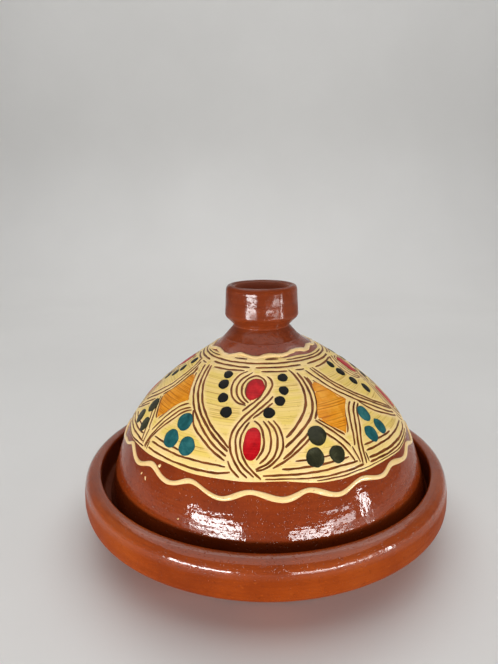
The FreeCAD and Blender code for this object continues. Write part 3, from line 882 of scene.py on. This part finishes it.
# ---------------------------------------------------------------------------
# Trailed slip: wavy beads, thicker where the hand slowed
# ---------------------------------------------------------------------------
def bead(name, knots, node, width, height, step_deg=0.8, drips=()):
    """Closed bead through (angle, length) knots that run right round the lid."""
    p = np.asarray(knots, float)
    ext = np.vstack([p[-4:] - [360, 0], p, p[:4] + [360, 0]])
    dense = spline_through(ext, 0.5)
    n = int(360 / step_deg)
    th = np.linspace(-180, 180, n, endpoint=False) + p[0, 0] + 180
    s = np.interp(th, dense[:, 0], dense[:, 1])
    r = radius_at(s)
    ds = (np.roll(s, -1) - np.roll(s, 1)) / (2 * math.radians(step_deg) * r)
    ln = np.hypot(1, ds)
    nx, ny = -ds / ln, 1 / ln
    a = np.radians(th)
    w = 0.5 * width * (1 + 0.13 * np.sin(7 * a + 1) + 0.09 * np.sin(23 * a) + 0.06 * np.sin(41 * a + 2))
    hh = height * (1 + 0.10 * np.sin(11 * a) + 0.08 * np.sin(29 * a + 1))
    m = 14
    verts, uv = [], []
    for k in range(m):
        ang = 2 * math.pi * k / m
        off = np.cos(ang) * w
        up = np.where(math.sin(ang) >= 0, math.sin(ang) * hh, math.sin(ang) * 0.5)
        verts.append(surf(th + np.degrees(off * nx / r), s + off * ny, up))
        uv.append(np.stack([th * 1.66, s + off], -1))
    v = np.stack(verts, 1).reshape(-1, 3)
    u = np.stack(uv, 1).reshape(-1, 2)
    faces = []
    for i in range(n):
        j = (i + 1) % n
        for k in range(m):
            k2 = (k + 1) % m
            faces.append((i * m + k, j * m + k, j * m + k2, i * m + k2))
    for t0, s0, half_w, half_h, tilt in drips:
        # stray drops of the same slip, low rounded caps on the clay
        o = blob(half_w, half_h, tilt, 0.12, 16)
        first = len(v)
        add_v, add_u = [], []
        for f, h in ((1.0, -0.25), (1.0, 0.0), (0.8, 0.28), (0.45, 0.42)):
            for q in o * f:
                add_v.append(surf(t0 + math.degrees(q[0] / float(radius_at(s0))), s0 + q[1], h))
                add_u.append((0.0, s0 + q[1]))
        add_v += [surf(t0, s0, 0.46), surf(t0, s0, -0.25)]
        add_u += [(0.0, s0), (0.0, s0)]
        v, u = np.vstack([v, add_v]), np.vstack([u, add_u])
        for k in range(16):
            k2 = (k + 1) % 16
            for l in range(3):
                p, q = first + 16 * l, first + 16 * (l + 1)
                faces.append((p + k, p + k2, q + k2, q + k))
            faces.append((first + 48 + k, first + 48 + k2, first + 64))
            faces.append((first + k2, first + k, first + 65))
    ob = new_object(name, v, faces, [m_trail], None, u)
    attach(ob, "lid")
    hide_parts(node)
    return ob


low_knots = [(-72.5, 50.8), (-68.0, 52.0), (-63.0, 56.0), (-57.6, 52.2), (-52.6, 49.6), (-48.8, 51.6), (-45.0, 54.2), (-39.6, 50.6), (-34.4, 48.4),
             (-30.2, 50.8), (-26.4, 53.6), (-20.6, 50.2), (-14.4, 46.9), (-10.0, 49.6), (-5.8, 52.4), (0.2, 50.0), (5.4, 48.0),
             (9.2, 50.0), (12.9, 52.6), (18.6, 49.4), (23.8, 46.8), (28.2, 49.6), (33.0, 52.0), (38.4, 49.6), (43.4, 48.4), (48.4, 51.6), (54.0, 50.0), (60.4, 48.4)]
th_next = 66.0
up_turn = True
while th_next < 282.0:
    low_knots.append((th_next, (52.6 if up_turn else 47.9) + float(rng.normal(0, 0.6))))
    th_next += 9.4 + float(rng.normal(0, 0.5))
    up_turn = not up_turn
low_knots = [q for q in low_knots if q[0] < -72.5 + 360 - 5]
bead("slip_wave_lower_trailed", low_knots, "slip_wave_lower", 3.4, 1.1,
     drips=[(-40.8, 55.8, 1.5, 1.2, 0.4), (-45.8, 43.2, 0.7, 1.6, 0.5), (-48.6, 44.6, 0.6, 1.1, -0.3), (-28.2, 27.8, 0.6, 0.7, 0.0)])
high_knots = [(-84.0, 152.4), (-68.0, 155.4), (-53.0, 154.2), (-39.0, 153.0), (-28.0, 156.4), (-19.0, 155.6), (-9.0, 153.9), (0.0, 155.4), (8.0, 156.6),
              (16.0, 156.0), (25.0, 156.4), (34.0, 158.0), (44.0, 158.6), (57.0, 156.6), (71.0, 158.2), (85.0, 155.6)]
th_next, up_turn = 98.0, True
while th_next < 268.0:
    high_knots.append((th_next, (155.0 if up_turn else 152.4) + float(rng.normal(0, 0.3))))
    th_next += 16.2 + float(rng.normal(0, 0.6))
    up_turn = not up_turn
high_knots = [q for q in high_knots if q[0] < -84 + 360 - 9]
bead("slip_wave_upper_trailed", high_knots, "slip_wave_upper", 3.6, 1.0)

# ---------------------------------------------------------------------------
# Stage: pale floor, soft light, camera
# ---------------------------------------------------------------------------
k = Nodes("pale_floor")
k.link(k.ramp(k.noise(3.0, 3.0, 0.5), [(0.3, (0.76, 0.75, 0.73)), (0.7, (0.80, 0.79, 0.77))]), k.bsdf.inputs["Base Color"])
k.gloss(0.5, 0.0, 0.3, 0.3)
sweep = [(-4.0, -0.0004), (0.9, -0.0004)] + [(0.9 + 0.5 * math.sin(a), 0.4996 - 0.5 * math.cos(a)) for a in np.linspace(0.1, math.pi / 2, 16)] + [(1.4, 3.0)]
fv = [(x, y, z) for y, z in sweep for x in (-4.0, 4.0)]
floor = new_object("floor", fv, [(2 * i, 2 * i + 1, 2 * i + 3, 2 * i + 2) for i in range(len(sweep) - 1)], [k.m])


def softbox(name, az, el, dist, w, h, power, color=(1, 1, 1), target=(0, 0, 0.08), roll=0.0):
    """Rectangular lamp seen from the target at an azimuth (0 = front, right positive) and elevation."""
    a, e = math.radians(az), math.radians(el)
    d = Vector((math.sin(a) * math.cos(e), -math.cos(a) * math.cos(e), math.sin(e)))
    t = Vector(target)
    lamp = bpy.data.lights.new(name, "AREA")
    lamp.shape = "RECTANGLE"
    lamp.size, lamp.size_y = w, h
    lamp.energy = power
    lamp.color = color
    ob = bpy.data.objects.new(name, lamp)
    ob.location = t + d * dist
    ob.rotation_euler = ((t - ob.location).to_track_quat("-Z", "Y") @ Quaternion((0, 0, 1), roll)).to_euler()
    bpy.context.scene.collection.objects.link(ob)
    return ob


softbox("window_left", -32, 0.0, 0.95, 0.56, 0.108, 6.0, target=(0, 0, 0.070), roll=-0.05)
softbox("window_right_low", 26, -1.5, 0.95, 0.42, 0.056, 1.8, target=(0, 0, 0.060))
softbox("window_right_mid", 46, 0.0, 0.95, 0.30, 0.095, 1.05, target=(0, 0, 0.062))
softbox("window_right_tall", 63.5, 0.5, 0.95, 0.085, 0.20, 1.5, target=(0, 0, 0.102))
softbox("overhead", 180, 84, 2.2, 3.6, 3.0, 36.0)
softbox("back_fill", 180, 50, 1.9, 2.4, 1.3, 9.0)

world = bpy.data.worlds.new("studio")
world.use_nodes = True
bg = next(n for n in world.node_tree.nodes if n.type == "BACKGROUND")
bg.inputs["Color"].default_value = (0.82, 0.83, 0.85, 1.0)
bg.inputs["Strength"].default_value = 0.16
bpy.context.scene.world = world
bpy.context.scene.view_settings.view_transform = "Standard"

D, H, PITCH, YAW, ROLL, F = 413.535, 262.686, 0.242292, -0.028399, -0.011378, 520.681
fwd = Vector((math.sin(YAW) * math.cos(PITCH), math.cos(YAW) * math.cos(PITCH), -math.sin(PITCH)))
rgt = Vector((math.cos(YAW), -math.sin(YAW), 0.0))
upv = rgt.cross(fwd)
r2 = math.cos(ROLL) * rgt + math.sin(ROLL) * upv
u2 = -math.sin(ROLL) * rgt + math.cos(ROLL) * upv
cam_data = bpy.data.cameras.new("camera")
cam_data.sensor_width = 36.0
cam_data.lens = F / 664.0 * 36.0
cam_data.clip_start = 0.01
cam = bpy.data.objects.new("camera", cam_data)
cam.matrix_world = Matrix(((r2.x, u2.x, -fwd.x, 0.0), (r2.y, u2.y, -fwd.y, -D * 0.001), (r2.z, u2.z, -fwd.z, H * 0.001), (0, 0, 0, 1)))
bpy.context.scene.collection.objects.link(cam)
bpy.context.scene.camera = cam
